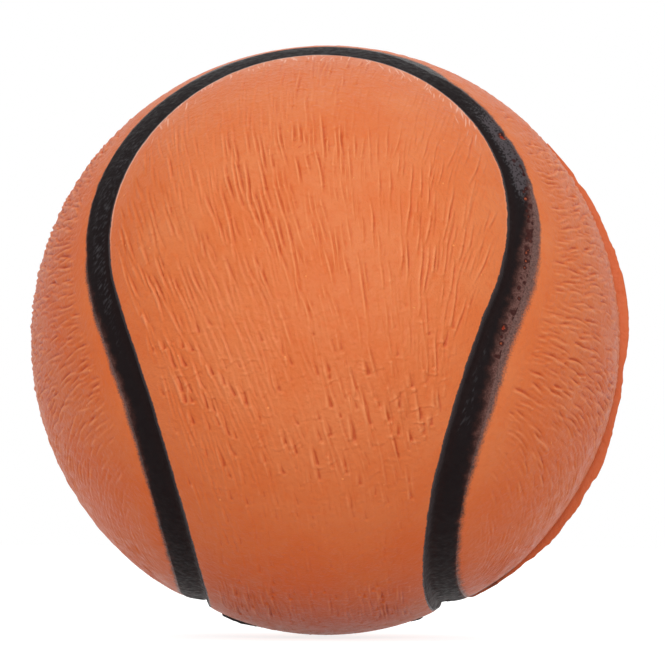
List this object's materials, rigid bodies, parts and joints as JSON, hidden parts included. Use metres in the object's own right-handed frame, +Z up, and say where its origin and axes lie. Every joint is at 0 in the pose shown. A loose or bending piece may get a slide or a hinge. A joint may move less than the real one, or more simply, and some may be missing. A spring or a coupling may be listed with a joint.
{
  "type": "foam dodgeball",
  "caption": "Soft moulded foam ball with a textured orange skin, a winding black-painted seam groove and a trimmed parting fin.",
  "frame": {"origin": "centre of the ball", "axes": "+Z up with the ball at rest, -Y through the front lobe of the main panel, and the mould parts on the XZ plane"},
  "size_m": [0.1523, 0.15, 0.1505],
  "materials": {
    "core_foam": "open-cell foam, matte",
    "skin": "dense moulded foam skin, satin, creased",
    "flash": "thin trimmed skin stock, satin",
    "seam_paint": "sprayed flexible paint, satin"
  },
  "bodies": {
    "root": {"foam_core": "core_foam", "front_skin": "skin", "back_skin": "skin", "parting_flash": "flash", "seam_paint": "seam_paint"}
  },
  "joints": []
}
